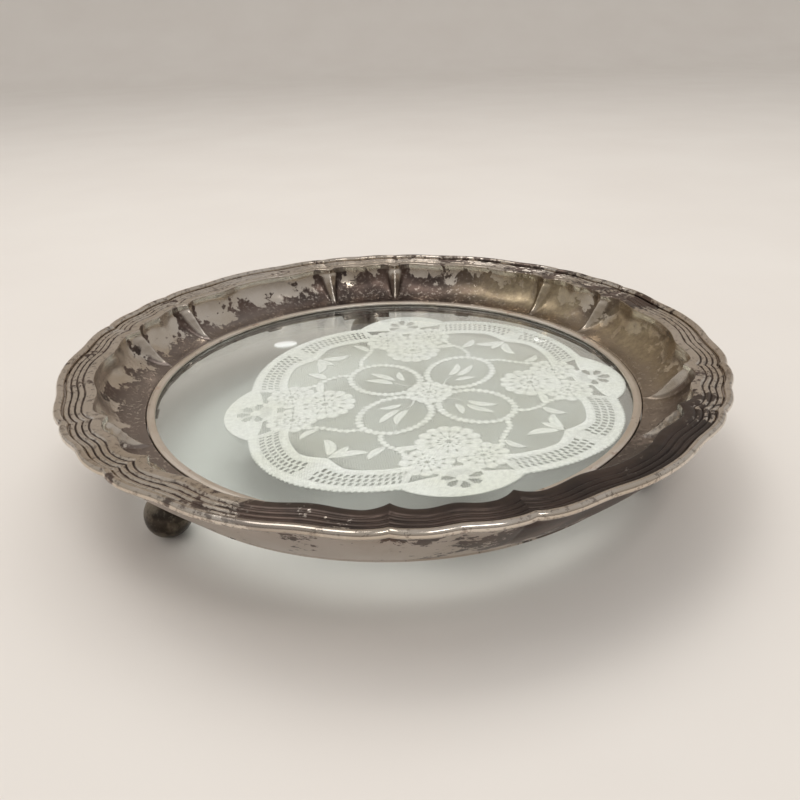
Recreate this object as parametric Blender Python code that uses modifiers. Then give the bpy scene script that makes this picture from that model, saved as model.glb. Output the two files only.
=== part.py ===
"""Silver salver: a scalloped rim on three ball feet, with lace between two glass discs.

Metres, +Z up. The origin is on the table, below the centre. The front is -Y.
"""

import math

import bpy
from mathutils import Matrix, Vector

MM = 0.001

# Driving dimensions, in millimetres.
OUTER_RADIUS = 160.0
RIM_HEIGHT = 56.0
GLASS_OPENING_RADIUS = 118.7
GLASS_TOP_HEIGHT = 33.3
SKIRT_FOOT_RADIUS = 130.2
SKIRT_FOOT_HEIGHT = 21.0
BALL_RADIUS = 10.6

SHEET = 0.9
GAP = 0.3

# Edge wire and the moulding inside it.
WIRE_RADIUS = 1.8
WIRE_CENTRE_RADIUS = OUTER_RADIUS - WIRE_RADIUS
MOULDING_INNER_RADIUS = 144.0
REED_COUNT = 3
REED_HEIGHT = 0.9
REEDS_SHARE = 0.62
BAND_RISE_SHARE = 0.12
BAND_END_SHARE = 0.26
MOULDING_BASE_HEIGHT = RIM_HEIGHT - 2.6
MOULDING_UNDERSIDE_HEIGHT = RIM_HEIGHT - 3.7
FLANGE_DEPTH = 3.5

# Bezel, glass and collar.
BEZEL_OUTER_RADIUS = 122.6
BEZEL_TOP_HEIGHT = 35.0
BEZEL_UNDERSIDE = GLASS_TOP_HEIGHT + GAP
COLLAR_THICKNESS = 0.8
COLLAR_INNER_RADIUS = BEZEL_OUTER_RADIUS - COLLAR_THICKNESS
GLASS_RADIUS = COLLAR_INNER_RADIUS - 0.6
GLASS_THICKNESS = 2.4
GLASS_EDGE_BEVEL = 0.4
LACE_THICKNESS = 0.5
LACE_RADIUS = 101.0
LACE_SHIFT = (14.5, -8.9)
RETAINER_RADIUS = 0.8
RETAINER_SPLIT_DEGREES = 6.0
RETAINER_POINTS = 48
TAB_COUNT = 6
TAB_WIDTH = 9.0
TAB_THICKNESS = 0.8
TAB_REACH = 4.6
TAB_HEIGHT = 6.0

# Scallops: six brackets, each between two cusps, with long lobes between them.
BRACKET_COUNT = 6
FIRST_BRACKET_DEGREES = 30.0
CUSP_DEGREES = 9.0
SCALLOP_DEPTH = 1.6
SCALLOP_DEPTH_INSIDE = 2.6
CREASE_HEIGHT = 3.2
CREASE_HALF_WIDTH_DEGREES = 3.2
CREASE_FADE = 0.6
CUSP_WIDTH_DEGREES = 1.5
BRACKET_HOLLOW_DEPTH = 0.75
BRACKET_HOLLOW_WIDTH_DEGREES = 2.6
LOBE_HOLLOW_DEPTH = 0.95
LOBE_HOLLOW_DEGREES = 20.0
LOBE_HOLLOW_WIDTH_DEGREES = 4.5
STEPS_ROUND = 120
PLAIN_STEPS = 72
SMALL_STEPS = 16
BALL_STEPS = 24
BALL_RINGS = 10

# Feet.
FOOT_DEGREES = {"back": 90.0, "left": 210.0, "right": 330.0}
FOOT_CENTRE_RADIUS = 126.9
BALL_FLAT_RADIUS = 2.5
BALL_NECK_RADIUS = 2.0
SCREW_RADIUS = 1.2
SCREW_HEAD_RADIUS = 2.1
SCREW_HEAD_HEIGHT = 1.5
SCREW_DEPTH_IN_BALL = 8.0
BORE_RADIUS = SCREW_RADIUS + GAP
WASHER_THICKNESS = 0.5
SPOT_FACE_RADIUS = SCREW_HEAD_RADIUS + 0.5
SPOT_FACE_DEPTH = 0.2
BRACKET_DEGREES = 14.0
BRACKET_THICKNESS = 1.0
BRACKET_INNER_RADIUS = 121.0
BRACKET_TOP_HEIGHT = 28.5
CUTTER_ABOVE = 12.0
CUTTER_BELOW = 3.0
SCREW_TIP_CHAMFER = 0.6

SILVER = (0.66, 0.61, 0.56, 1.0)
TARNISHED = (0.33, 0.28, 0.26, 1.0)
POLISHED = (0.78, 0.73, 0.68, 1.0)
BALL_METAL = (0.10, 0.09, 0.08, 1.0)
STEEL = (0.45, 0.44, 0.42, 1.0)
GLASS_TINT = (0.80, 0.90, 0.87, 1.0)
CREAM = (0.88, 0.87, 0.78, 1.0)


def clear_scene():
    for item in list(bpy.data.objects):
        bpy.data.objects.remove(item, do_unlink=True)


def make_collection(name):
    collection = bpy.data.collections.new(name)
    bpy.context.scene.collection.children.link(collection)
    return collection


def make_material(name, color, roughness, metallic, transmission=0.0):
    material = bpy.data.materials.new(name)
    material.use_nodes = True
    shader = material.node_tree.nodes["Principled BSDF"]
    shader.inputs["Base Color"].default_value = color
    shader.inputs["Roughness"].default_value = roughness
    shader.inputs["Metallic"].default_value = metallic
    shader.inputs["Transmission Weight"].default_value = transmission
    return material


def smoothstep(low, high, value):
    t = min(1.0, max(0.0, (value - low) / (high - low)))
    return t * t * (3.0 - 2.0 * t)


def bracket_offset_degrees(angle):
    """Angle from the nearest bracket centre, -30 to 30."""
    pitch = 360.0 / BRACKET_COUNT
    return (angle - FIRST_BRACKET_DEGREES + pitch / 2.0) % pitch - pitch / 2.0


def scallop(angle):
    """Outline shift at an angle in degrees: 0 on the bulges, -1 at the cusps."""
    offset = abs(bracket_offset_degrees(angle))
    cusp = math.exp(-abs(offset - CUSP_DEGREES) / CUSP_WIDTH_DEGREES)
    bracket_hollow = BRACKET_HOLLOW_DEPTH * math.exp(-(offset / BRACKET_HOLLOW_WIDTH_DEGREES) ** 2)
    from_hollow = (offset - LOBE_HOLLOW_DEGREES) / LOBE_HOLLOW_WIDTH_DEGREES
    lobe_hollow = LOBE_HOLLOW_DEPTH * math.exp(-from_hollow ** 2)
    return -max(cusp, bracket_hollow, lobe_hollow)


def crease(angle, width):
    """Height of the pointed ridge at each cusp, 0 to 1, for a half width in degrees."""
    offset = abs(abs(bracket_offset_degrees(angle)) - CUSP_DEGREES)
    return max(0.0, 1.0 - offset / width)


def turned(name, profile, steps=STEPS_ROUND, closed=True):
    """Revolve (radius, height) points about Z, outer side first, top to bottom."""
    mesh = bpy.data.meshes.new(name)
    points = [(radius * MM, 0.0, height * MM) for radius, height in profile]
    count = len(points)
    edges = [(i, i + 1) for i in range(count - 1)]
    if closed:
        edges.append((count - 1, 0))
    mesh.from_pydata(points, edges, [])
    item = bpy.data.objects.new(name, mesh)
    screw = item.modifiers.new("Turn", "SCREW")
    screw.steps = steps
    screw.render_steps = steps
    screw.use_merge_vertices = True
    screw.merge_threshold = 0.00005
    return item


def apply_modifiers(item, collection):
    """Replace an object's mesh by its evaluated mesh and drop its modifiers."""
    collection.objects.link(item)
    evaluated = item.evaluated_get(bpy.context.evaluated_depsgraph_get())
    mesh = bpy.data.meshes.new_from_object(evaluated)
    item.modifiers.clear()
    item.data = mesh
    return item


def finish(item, collection, material, smooth_degrees=35.0):
    if item.name not in collection.objects:
        collection.objects.link(item)
    item.data.materials.clear()
    item.data.materials.append(material)
    if item.type == "MESH":
        item.data.shade_smooth()
        item.data.set_sharp_from_angle(angle=math.radians(smooth_degrees))
    return item


def arc(centre_radius, centre_height, semi_radius, semi_height, start, end, count):
    """Points of an elliptical arc in the radius-height plane, angles in degrees."""
    points = []
    for i in range(count + 1):
        turn = math.radians(start + (end - start) * i / count)
        points.append((centre_radius + semi_radius * math.cos(turn),
                       centre_height + semi_height * math.sin(turn)))
    return points


# Height of the moulding's surface and the cove's quarter ellipse.
MOULDING_OUTER_RADIUS = WIRE_CENTRE_RADIUS - WIRE_RADIUS - GAP
COVE_FOOT_RADIUS = BEZEL_OUTER_RADIUS + GAP + SHEET
COVE_FOOT_HEIGHT = BEZEL_TOP_HEIGHT - 0.2
COVE_TOP_HEIGHT = RIM_HEIGHT - 2.4
COVE_STEPS = 6
COVE_BACK_STEPS = 4
COVE_END_DEGREES = -8.0


def moulding_profile():
    """Top of the moulding from its outer edge in, with a reed as each third of its width."""
    points = []
    width = MOULDING_OUTER_RADIUS - MOULDING_INNER_RADIUS
    reed_width = width * REEDS_SHARE / REED_COUNT
    base = MOULDING_BASE_HEIGHT
    for reed in range(REED_COUNT):
        outer = MOULDING_OUTER_RADIUS - reed * reed_width
        points.append((outer, base))
        points.append((outer - reed_width * 0.5, base + REED_HEIGHT))
    band = MOULDING_OUTER_RADIUS - REED_COUNT * reed_width
    points.append((band, base))
    points.append((band - width * BAND_RISE_SHARE, base + REED_HEIGHT))
    points.append((band - width * BAND_END_SHARE, base + REED_HEIGHT))
    return points


def cove_profile(steps, inset=0.0):
    """Hollow of the rim from the moulding down to the bezel."""
    semi_radius = MOULDING_INNER_RADIUS - COVE_FOOT_RADIUS
    semi_height = COVE_TOP_HEIGHT - COVE_FOOT_HEIGHT
    return arc(COVE_FOOT_RADIUS, COVE_TOP_HEIGHT, semi_radius + inset, semi_height + inset,
               COVE_END_DEGREES, -90.0, steps)


def border_profile():
    """Closed section of the stamped sheet: its back inwards, then its top surface outwards."""
    top = moulding_profile() + cove_profile(COVE_STEPS)
    inner = COVE_FOOT_RADIUS - SHEET
    foot = COVE_FOOT_HEIGHT - FLANGE_DEPTH
    down = [(inner, COVE_FOOT_HEIGHT), (inner, foot),
            (inner + SHEET, foot), (inner + SHEET, COVE_FOOT_HEIGHT - SHEET)]
    back = cove_profile(COVE_BACK_STEPS, SHEET)[:-1]
    back.reverse()
    underside = [(MOULDING_INNER_RADIUS + 3.0, MOULDING_UNDERSIDE_HEIGHT - 0.4),
                 (MOULDING_OUTER_RADIUS, MOULDING_UNDERSIDE_HEIGHT)]
    section = top + down + back + underside
    section.reverse()
    return section


def scallop_weight(radius, height):
    """How far the outline's scallops carry in from the edge: full on the moulding, none at the glass."""
    return smoothstep(COVE_FOOT_RADIUS, MOULDING_INNER_RADIUS, radius) * smoothstep(
        SKIRT_FOOT_HEIGHT, COVE_TOP_HEIGHT, height)


def scallop_depth(radius):
    inward = smoothstep(MOULDING_INNER_RADIUS, OUTER_RADIUS, radius)
    return SCALLOP_DEPTH_INSIDE + (SCALLOP_DEPTH - SCALLOP_DEPTH_INSIDE) * inward


def press_scallops(item, with_creases):
    """Move a turned mesh's points in or out by the scallops, and raise the cove's creases."""
    for vertex in item.data.vertices:
        x, y, z = vertex.co
        radius = math.hypot(x, y) / MM
        height = z / MM
        angle = math.degrees(math.atan2(y, x))
        shift = scallop(angle) * scallop_depth(radius) * scallop_weight(radius, height)
        lift = 0.0
        if with_creases and radius < MOULDING_INNER_RADIUS + 1.0:
            along = smoothstep(COVE_FOOT_RADIUS + 3.0, MOULDING_INNER_RADIUS, radius)
            ridge = crease(angle, CREASE_HALF_WIDTH_DEGREES) * CREASE_HEIGHT * along ** CREASE_FADE
            slope = smoothstep(COVE_FOOT_RADIUS, MOULDING_INNER_RADIUS, radius)
            shift -= ridge * slope
            lift = ridge * (1.0 - slope)
        factor = (radius + shift) / radius
        vertex.co = (x * factor, y * factor, z + lift * MM)


def build_border(parts, material):
    item = turned("rim_border", border_profile())
    apply_modifiers(item, parts)
    press_scallops(item, with_creases=True)
    finish(item, parts, material, 50.0)


def build_edge_wire(parts, material):
    curve = bpy.data.curves.new("edge_wire", "CURVE")
    curve.dimensions = "3D"
    curve.bevel_depth = WIRE_RADIUS * MM
    curve.bevel_resolution = 2
    spline = curve.splines.new("POLY")
    spline.points.add(STEPS_ROUND - 1)
    spline.use_cyclic_u = True
    for i in range(STEPS_ROUND):
        angle = 360.0 * i / STEPS_ROUND
        radius = (WIRE_CENTRE_RADIUS + scallop(angle) * SCALLOP_DEPTH) * MM
        turn = math.radians(angle)
        height = (RIM_HEIGHT - WIRE_RADIUS) * MM
        spline.points[i].co = (radius * math.cos(turn), radius * math.sin(turn), height, 1.0)
    finish(bpy.data.objects.new("edge_wire", curve), parts, material)


SKIRT_TOP_RADIUS = WIRE_CENTRE_RADIUS - 0.6
SKIRT_TOP_HEIGHT = RIM_HEIGHT - 2.0 * WIRE_RADIUS - GAP
SKIRT_BELLY = 1.2
SKIRT_STEPS = 4
SKIRT_HEM = 1.4


def skirt_line(offset, steps=SKIRT_STEPS):
    """Points of the wall from top to foot, bowed out by the belly, offset along its normal."""
    run = SKIRT_TOP_RADIUS - SKIRT_FOOT_RADIUS
    rise = SKIRT_TOP_HEIGHT - SKIRT_FOOT_HEIGHT - SKIRT_HEM
    length = math.hypot(run, rise)
    points = []
    for i in range(steps + 1):
        t = i / steps
        bow = SKIRT_BELLY * 4.0 * t * (1.0 - t) + offset
        points.append((SKIRT_TOP_RADIUS - run * t + bow * rise / length,
                       SKIRT_TOP_HEIGHT - rise * t - bow * run / length))
    return points


def build_skirt(parts, material):
    outside = skirt_line(0.0) + [(SKIRT_FOOT_RADIUS, SKIRT_FOOT_HEIGHT)]
    inside = skirt_line(-SHEET)
    inside[0] = (SKIRT_TOP_RADIUS - 1.2 * SHEET, SKIRT_TOP_HEIGHT)
    inside.append((SKIRT_FOOT_RADIUS - SHEET, SKIRT_FOOT_HEIGHT))
    inside.reverse()
    item = turned("outer_skirt", outside + inside)
    apply_modifiers(item, parts)
    press_scallops(item, with_creases=False)
    finish(item, parts, material, 50.0)


def build_bezel(parts, material):
    inner = GLASS_OPENING_RADIUS
    outer = BEZEL_OUTER_RADIUS
    profile = [(outer, BEZEL_TOP_HEIGHT - 0.5), (outer, BEZEL_UNDERSIDE), (inner, BEZEL_UNDERSIDE),
               (inner, BEZEL_TOP_HEIGHT - 1.0), (inner + 0.4, BEZEL_TOP_HEIGHT - 0.4),
               (inner + 1.2, BEZEL_TOP_HEIGHT), (outer - 0.6, BEZEL_TOP_HEIGHT)]
    finish(turned("bezel_ring", profile, PLAIN_STEPS), parts, material)


COLLAR_TOP = BEZEL_UNDERSIDE - GAP
GLASS_UPPER_BASE = GLASS_TOP_HEIGHT - GLASS_THICKNESS
LACE_TOP = GLASS_UPPER_BASE - GAP
LOWER_GLASS_TOP = LACE_TOP - LACE_THICKNESS - GAP
LOWER_GLASS_BASE = LOWER_GLASS_TOP - GLASS_THICKNESS
RETAINER_HEIGHT = LOWER_GLASS_BASE - GAP - RETAINER_RADIUS
TAB_TOP = RETAINER_HEIGHT - RETAINER_RADIUS - GAP
COLLAR_BASE = TAB_TOP + GAP


def build_collar(parts, material):
    inner = COLLAR_INNER_RADIUS
    outer = inner + COLLAR_THICKNESS
    profile = [(outer, COLLAR_TOP), (outer, COLLAR_BASE), (inner, COLLAR_BASE), (inner, COLLAR_TOP)]
    finish(turned("glass_collar", profile, PLAIN_STEPS), parts, material)


def build_glass(parts, name, base, material):
    bevel = GLASS_EDGE_BEVEL
    top = base + GLASS_THICKNESS
    profile = [(0.0, top), (GLASS_RADIUS - bevel, top), (GLASS_RADIUS, top - bevel),
               (GLASS_RADIUS, base + bevel), (GLASS_RADIUS - bevel, base), (0.0, base)]
    finish(turned(name, profile, PLAIN_STEPS, closed=False), parts, material)


def build_lace(parts, material):
    top = LACE_TOP
    profile = [(0.0, top), (LACE_RADIUS, top), (LACE_RADIUS, top - LACE_THICKNESS),
               (0.0, top - LACE_THICKNESS)]
    item = turned("lace_doily", profile, PLAIN_STEPS, closed=False)
    item.location = (LACE_SHIFT[0] * MM, LACE_SHIFT[1] * MM, 0.0)
    finish(item, parts, material)


def build_retainer(parts, material):
    curve = bpy.data.curves.new("retaining_wire", "CURVE")
    curve.dimensions = "3D"
    curve.bevel_depth = RETAINER_RADIUS * MM
    curve.bevel_resolution = 1
    curve.use_fill_caps = True
    spline = curve.splines.new("POLY")
    spline.points.add(RETAINER_POINTS)
    radius = (GLASS_RADIUS - RETAINER_RADIUS) * MM
    for i in range(RETAINER_POINTS + 1):
        sweep = 360.0 - RETAINER_SPLIT_DEGREES
        turn = math.radians(RETAINER_SPLIT_DEGREES / 2.0 + sweep * i / RETAINER_POINTS)
        spline.points[i].co = (radius * math.cos(turn), radius * math.sin(turn),
                               RETAINER_HEIGHT * MM, 1.0)
    finish(bpy.data.objects.new("retaining_wire", curve), parts, material)


def bent_plate(name, line, width, thickness):
    """A bent strip: a (radius, height) line across its width along Y, thickened with Solidify."""
    mesh = bpy.data.meshes.new(name)
    half = width / 2.0
    points = []
    for radius, height in line:
        points.append((radius * MM, -half * MM, height * MM))
        points.append((radius * MM, half * MM, height * MM))
    faces = [(2 * i, 2 * i + 2, 2 * i + 3, 2 * i + 1) for i in range(len(line) - 1)]
    mesh.from_pydata(points, [], faces)
    item = bpy.data.objects.new(name, mesh)
    solidify = item.modifiers.new("Thickness", "SOLIDIFY")
    solidify.thickness = thickness * MM
    solidify.offset = 0.0
    solidify.use_even_offset = True
    return item


def build_tabs(parts, material):
    """Bent tabs: an upright outside the collar and a toe under the retaining wire."""
    half = TAB_THICKNESS / 2.0
    upright = BEZEL_OUTER_RADIUS + GAP + half + 0.15
    toe = TAB_TOP - half
    line = [(upright, toe + TAB_HEIGHT), (upright, toe), (upright - TAB_REACH, toe)]
    for i in range(TAB_COUNT):
        item = bent_plate(f"glass_tab_{i + 1}", line, TAB_WIDTH, TAB_THICKNESS)
        item.rotation_euler = (0.0, 0.0, math.radians(360.0 * i / TAB_COUNT))
        finish(item, parts, material)


def bracket_surface(name):
    """Open L-shaped strip turned through a few degrees about Z, then thickened."""
    half = BRACKET_THICKNESS / 2.0
    shelf = SKIRT_FOOT_HEIGHT + GAP + half
    wall = skirt_line(-SHEET - GAP - half, 4 * SKIRT_STEPS)[::2]
    low = (SKIRT_FOOT_RADIUS - SHEET - GAP - half, shelf)
    leaf = [point for point in wall if shelf + 1.2 < point[1] < BRACKET_TOP_HEIGHT]
    line = leaf + [low, (BRACKET_INNER_RADIUS, shelf)]
    item = turned(name, line, steps=6, closed=False)
    item.modifiers["Turn"].angle = math.radians(BRACKET_DEGREES)
    solidify = item.modifiers.new("Thickness", "SOLIDIFY")
    solidify.thickness = BRACKET_THICKNESS * MM
    solidify.offset = 0.0
    solidify.use_even_offset = True
    return item, shelf


def build_feet(parts, cutters, silver, ball_metal, steel):
    for side, degrees in FOOT_DEGREES.items():
        centre = Matrix.Rotation(math.radians(degrees), 4, "Z") @ Vector(
            (FOOT_CENTRE_RADIUS * MM, 0.0, 0.0))

        bracket, shelf = bracket_surface(f"foot_bracket_{side}")
        bracket.rotation_euler = (0.0, 0.0, math.radians(degrees - BRACKET_DEGREES / 2.0))
        spot = shelf + BRACKET_THICKNESS / 2.0 - SPOT_FACE_DEPTH
        cutter = turned(f"foot_bracket_{side}_hole",
                        [(0.0, shelf + CUTTER_ABOVE), (SPOT_FACE_RADIUS, shelf + CUTTER_ABOVE),
                         (SPOT_FACE_RADIUS, spot), (BORE_RADIUS, spot),
                         (BORE_RADIUS, shelf - CUTTER_BELOW), (0.0, shelf - CUTTER_BELOW)],
                        SMALL_STEPS, closed=False)
        cutter.location = centre
        cutter.hide_render = True
        cutter.display_type = "WIRE"
        cutters.objects.link(cutter)
        hole = bracket.modifiers.new("Screw hole", "BOOLEAN")
        hole.operation = "DIFFERENCE"
        hole.solver = "EXACT"
        hole.object = cutter
        finish(bracket, parts, silver)

        ball = turned(f"foot_ball_{side}", ball_profile(), BALL_STEPS, closed=False)
        ball.location = centre
        finish(ball, parts, ball_metal)

        washer_base = spot + GAP
        washer_outer = SCREW_HEAD_RADIUS
        washer = turned(f"foot_washer_{side}",
                        [(washer_outer, washer_base + WASHER_THICKNESS), (washer_outer, washer_base),
                         (BORE_RADIUS, washer_base), (BORE_RADIUS, washer_base + WASHER_THICKNESS)],
                        SMALL_STEPS)
        washer.location = centre
        finish(washer, parts, steel)

        head_base = washer_base + WASHER_THICKNESS + GAP
        tip = 2.0 * BALL_RADIUS - SCREW_DEPTH_IN_BALL
        screw = turned(f"foot_screw_{side}",
                       [(0.0, head_base + SCREW_HEAD_HEIGHT),
                        (SCREW_HEAD_RADIUS * 0.7, head_base + SCREW_HEAD_HEIGHT),
                        (SCREW_HEAD_RADIUS, head_base + SCREW_HEAD_HEIGHT * 0.5),
                        (SCREW_HEAD_RADIUS, head_base), (SCREW_RADIUS, head_base),
                        (SCREW_RADIUS, tip + SCREW_TIP_CHAMFER), (SCREW_RADIUS * 0.5, tip), (0.0, tip)],
                       SMALL_STEPS, closed=False)
        screw.location = centre
        finish(screw, parts, steel)


def ball_profile():
    """Ball with a resting flat below, a small flat seat above and a blind bore for its screw."""
    low = math.degrees(math.asin(-math.sqrt(BALL_RADIUS ** 2 - BALL_FLAT_RADIUS ** 2) / BALL_RADIUS))
    high = math.degrees(math.acos(BALL_NECK_RADIUS / BALL_RADIUS))
    centre = math.sqrt(BALL_RADIUS ** 2 - BALL_FLAT_RADIUS ** 2)
    outside = arc(0.0, centre, BALL_RADIUS, BALL_RADIUS, high, low, BALL_RINGS)
    seat = outside[0][1]
    bore_depth = 2.0 * BALL_RADIUS - SCREW_DEPTH_IN_BALL - 1.0
    inside = [(0.0, bore_depth), (BORE_RADIUS, bore_depth), (BORE_RADIUS, seat)]
    outside[-1] = (BALL_FLAT_RADIUS, 0.0)
    return inside + outside + [(0.0, 0.0)]


def build():
    clear_scene()
    parts = make_collection("silver_salver")
    cutters = make_collection("cutters")
    border_silver = make_material("border_silver", SILVER, 0.34, 1.0)
    skirt_silver = make_material("skirt_silver", TARNISHED, 0.42, 1.0)
    bezel_silver = make_material("bezel_silver", POLISHED, 0.22, 1.0)
    fitting_silver = make_material("fitting_silver", TARNISHED, 0.5, 1.0)
    ball_metal = make_material("ball_metal", BALL_METAL, 0.38, 1.0)
    steel = make_material("steel", STEEL, 0.4, 1.0)
    glass = make_material("glass", GLASS_TINT, 0.03, 0.0, 0.9)
    cream_lace = make_material("cream_lace", CREAM, 0.9, 0.0)

    build_border(parts, border_silver)
    build_edge_wire(parts, border_silver)
    build_skirt(parts, skirt_silver)
    build_bezel(parts, bezel_silver)
    build_collar(parts, fitting_silver)
    build_glass(parts, "glass_upper", GLASS_UPPER_BASE, glass)
    build_glass(parts, "glass_lower", LOWER_GLASS_BASE, glass)
    build_lace(parts, cream_lace)
    build_retainer(parts, fitting_silver)
    build_tabs(parts, fitting_silver)
    build_feet(parts, cutters, fitting_silver, ball_metal, steel)


build()
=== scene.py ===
import math

import bpy
import numpy as np
from mathutils import Matrix, Vector


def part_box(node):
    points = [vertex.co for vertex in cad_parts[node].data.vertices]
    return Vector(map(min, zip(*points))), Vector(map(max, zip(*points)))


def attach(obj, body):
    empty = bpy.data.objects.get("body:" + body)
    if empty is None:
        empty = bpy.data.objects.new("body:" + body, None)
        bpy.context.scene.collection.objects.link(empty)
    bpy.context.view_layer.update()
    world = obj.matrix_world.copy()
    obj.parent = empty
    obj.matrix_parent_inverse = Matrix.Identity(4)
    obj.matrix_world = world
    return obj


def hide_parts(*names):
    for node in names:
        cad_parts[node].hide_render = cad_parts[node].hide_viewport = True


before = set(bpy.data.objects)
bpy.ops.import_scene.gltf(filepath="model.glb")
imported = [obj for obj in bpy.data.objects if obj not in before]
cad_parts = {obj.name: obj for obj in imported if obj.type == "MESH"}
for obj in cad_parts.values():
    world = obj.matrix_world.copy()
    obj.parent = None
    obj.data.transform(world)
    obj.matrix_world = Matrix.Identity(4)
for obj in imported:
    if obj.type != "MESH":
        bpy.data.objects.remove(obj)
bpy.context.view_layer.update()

MM = 0.001
TAU = 2.0 * math.pi

# The rim's plan in millimetres and degrees. It follows the CAD's to within a few tenths.
OUTER_RADIUS = 160.0
RIM_HEIGHT = 56.0
WIRE_RADIUS = 1.8
WIRE_CENTRE_RADIUS = OUTER_RADIUS - WIRE_RADIUS
WIRE_HEIGHT = RIM_HEIGHT - WIRE_RADIUS
MOULDING_OUTER_RADIUS = 156.2
MOULDING_INNER_RADIUS = 144.0
MOULDING_BASE = 53.1
REED_WIDTH = 2.5
REED_COUNT = 3
COVE_FOOT_RADIUS = 123.8
COVE_FOOT_HEIGHT = 34.8
COVE_TOP_HEIGHT = 53.6
COVE_START_DEGREES = 8.0
SHEET = 0.9
UPPER_PANE_BASE = 30.9
LOWER_PANE_BASE = 27.4
FOOT_FLAT_RADIUS = 2.5
BALL_TOP_RADIUS = 2.0
SKIRT_FOOT_RADIUS = 130.2
SKIRT_FOOT_HEIGHT = 21.0
HEM_RADIUS = 0.62
CUSP_DEGREES = 9.0

scene = bpy.context.scene


# ---------------------------------------------------------------- camera, lights and floor

# The camera fitted to the photograph. Its turns are azimuth, elevation and roll in degrees.
SENSOR_WIDTH = 36.0
LENS = 34.65
CAMERA_TURNS = (-8.35, 26.535, 1.469)
CAMERA_DISTANCE = 0.4538
CAMERA_TARGET = (0.00967, 0.0460, 0.0)
LAMP_AIM = (0.0, 0.0, 0.03)
WARM_WHITE = (1.0, 0.97, 0.93)
SOFT_WHITE = (1.0, 0.98, 0.96)
WORLD_LIGHT, WORLD_MIRRORED = 1.22, 0.80
WALL_BEHIND = (0.62, 0.60, 0.57, 1.0)
WALL_FRONT = (0.36, 0.33, 0.30, 1.0)
SKY = (0.62, 0.61, 0.60, 1.0)
FLOOR_LOW = (0.72, 0.675, 0.63, 1.0)
FLOOR_HIGH = (0.78, 0.745, 0.70, 1.0)


def make_camera():
    data = bpy.data.cameras.new("camera")
    data.sensor_width = SENSOR_WIDTH
    data.lens = LENS
    data.clip_start = 0.01
    camera = bpy.data.objects.new("camera", data)
    scene.collection.objects.link(camera)
    azimuth, elevation, roll = (math.radians(turn) for turn in CAMERA_TURNS)
    target = Vector(CAMERA_TARGET)
    away = Vector((math.sin(azimuth) * math.cos(elevation),
                   -math.cos(azimuth) * math.cos(elevation), math.sin(elevation)))
    turn = (-away).to_track_quat("-Z", "Y").to_matrix().to_4x4()
    camera.matrix_world = (Matrix.Translation(target + away * CAMERA_DISTANCE) @ turn
                           @ Matrix.Rotation(-roll, 4, "Z"))
    scene.camera = camera


def add_lamp(name, location, size, energy, color=(1.0, 1.0, 1.0), shape="RECTANGLE",
             mirrored=True):
    """An area lamp aimed at the dish. Without mirrored it lights but is not seen in reflections."""
    data = bpy.data.lights.new(name, "AREA")
    data.shape = shape
    data.size, data.size_y = size
    data.energy = energy
    data.color = color
    lamp = bpy.data.objects.new(name, data)
    scene.collection.objects.link(lamp)
    lamp.location = location
    aim = Vector(LAMP_AIM) - Vector(location)
    lamp.visible_glossy = mirrored
    lamp.rotation_euler = aim.to_track_quat("-Z", "Y").to_euler()


def make_studio():
    scene.view_settings.view_transform = "Standard"
    world = bpy.data.worlds.new("studio")
    scene.world = world
    world.use_nodes = True
    tree = world.node_tree
    tree.nodes.clear()
    place = node(tree, "TexCoord").outputs["Generated"]
    parts = node(tree, "SeparateXYZ", {0: place})
    front = smooth(tree, times(tree, parts.outputs["Y"], -1.0), -0.3, 0.8)
    high = smooth(tree, parts.outputs["Z"], 0.0, 0.75)
    wall = mix(tree, front, WALL_BEHIND, WALL_FRONT)
    sky = mix(tree, high, wall, SKY)
    mirrored = node(tree, "LightPath").outputs["Is Glossy Ray"]
    light = node(tree, "Background", {"Color": sky})
    strength = smooth(tree, mirrored, 0.0, 1.0, WORLD_LIGHT, WORLD_MIRRORED)
    tree.links.new(strength, light.inputs["Strength"])
    out = node(tree, "OutputWorld")
    tree.links.new(light.outputs[0], out.inputs[0])
    add_lamp("ceiling", (-0.05, 0.60, 1.55), (1.6, 0.8), 7.8, WARM_WHITE, mirrored=False)
    add_lamp("window", (-0.4, 0.1, 1.5), (0.90, 0.50), 3.2, SOFT_WHITE)
    add_lamp("high_front", (0.25, -0.75, 1.5), (0.45, 0.22), 2.0, SOFT_WHITE)
    add_lamp("tube_left", (-0.07, 1.55, 0.63), (0.060, 0.015), 0.0030, shape="ELLIPSE")
    add_lamp("tube_right", (0.59, 1.44, 0.63), (0.034, 0.014), 0.0020, shape="ELLIPSE")
    add_lamp("front_fill", (0.4, -1.2, 1.3), (0.7, 0.5), 0.8, mirrored=False)


def make_floor():
    """A pale sweep: flat under the object, curving up to a plain backdrop far behind it."""
    half, front, back, bend, top = 4.0, -3.0, 2.6, 1.0, 4.0
    line = [(front, 0.0), (back, 0.0)]
    for step in range(1, 17):
        turn = math.radians(90.0 * step / 16.0)
        line.append((back + bend * math.sin(turn), bend * (1.0 - math.cos(turn))))
    line.append((back + bend, top))
    points = [(x, y, z) for y, z in line for x in (-half, half)]
    mesh = bpy.data.meshes.new("floor")
    strips = [(2 * k, 2 * k + 1, 2 * k + 3, 2 * k + 2) for k in range(len(line) - 1)]
    mesh.from_pydata(points, [], strips)
    mesh.shade_smooth()
    floor = bpy.data.objects.new("floor", mesh)
    scene.collection.objects.link(floor)
    material, tree, shader = new_material("floor_cloth")
    place = node(tree, "TexCoord").outputs["Object"]
    folds = noise(tree, place, 6.0, 3.0, 0.5)
    tint = mix(tree, folds, FLOOR_LOW, FLOOR_HIGH)
    tree.links.new(tint, shader.inputs["Base Color"])
    shader.inputs["Roughness"].default_value = 0.85
    shader.inputs["Specular IOR Level"].default_value = 0.25
    mesh.materials.append(material)


# ---------------------------------------------------------------- node helpers

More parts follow.
